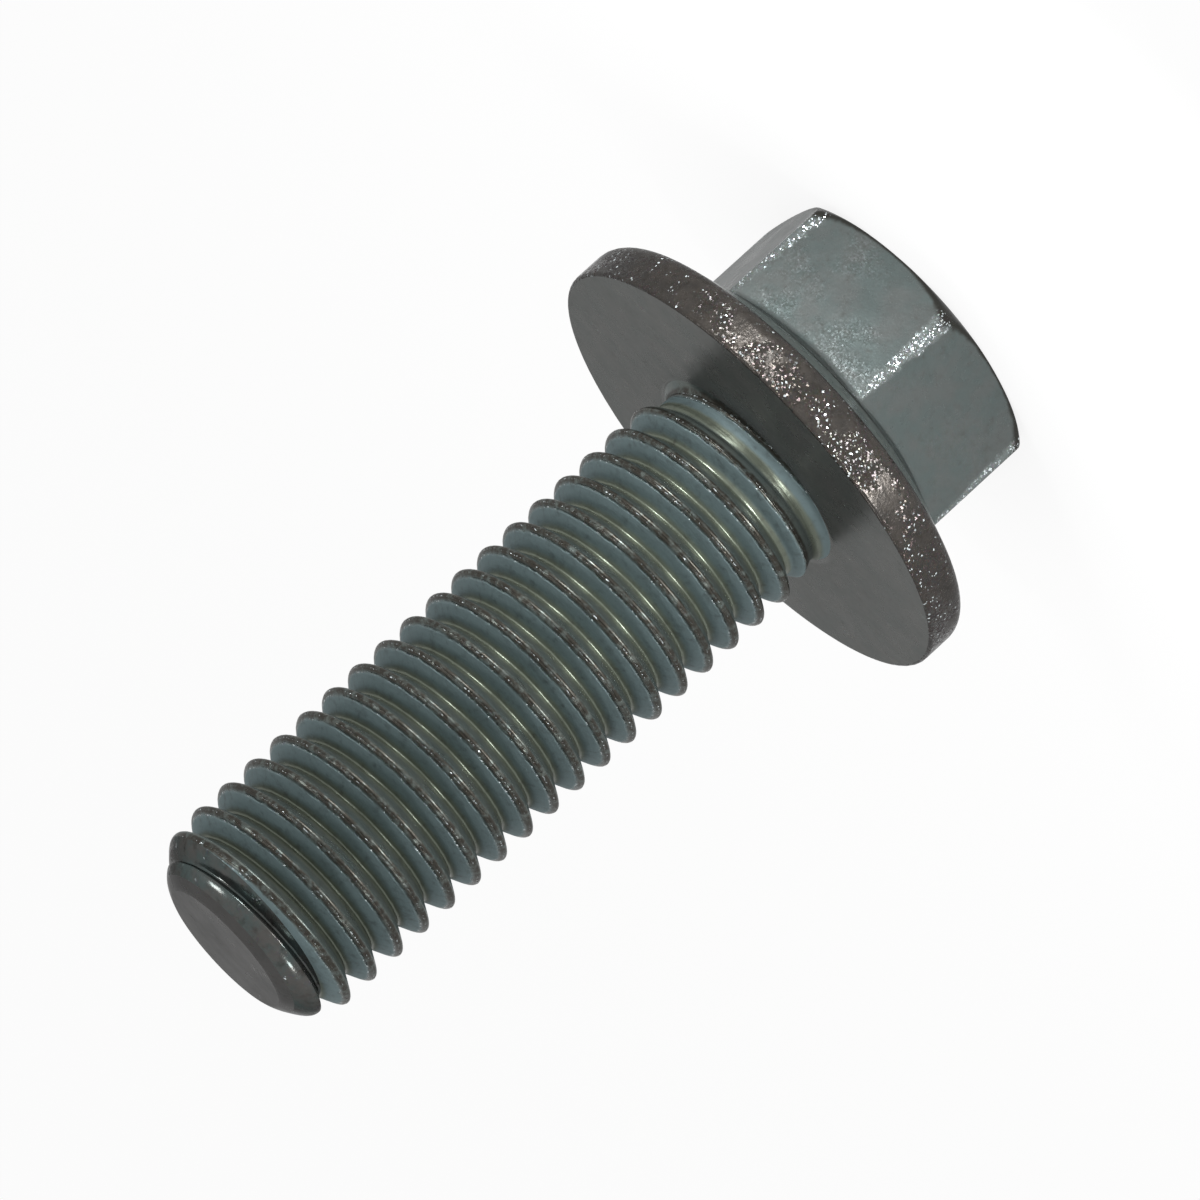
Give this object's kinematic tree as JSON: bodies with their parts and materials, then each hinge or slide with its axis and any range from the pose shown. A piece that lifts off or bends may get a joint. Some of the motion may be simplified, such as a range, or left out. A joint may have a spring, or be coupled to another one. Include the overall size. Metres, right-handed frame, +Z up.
{
  "type": "flange bolt",
  "caption": "Hexagon flange bolt with a right-hand metric thread up to the head, a rounded tip and a washer-faced flange.",
  "frame": {"origin": "centre of the flange's bearing face, on the shank's axis", "axes": "+Z up the shank from the head to the tip, as the bolt stands on its head; two of the hexagon's flats face +X and -X"},
  "size_m": [0.0216, 0.0216, 0.0396],
  "materials": {
    "zinc_plate": "steel with bright zinc plating and a blue-green clear passivation, a little dulled and speckled"
  },
  "bodies": {
    "root": {"flange_bolt": "zinc_plate"}
  },
  "joints": []
}
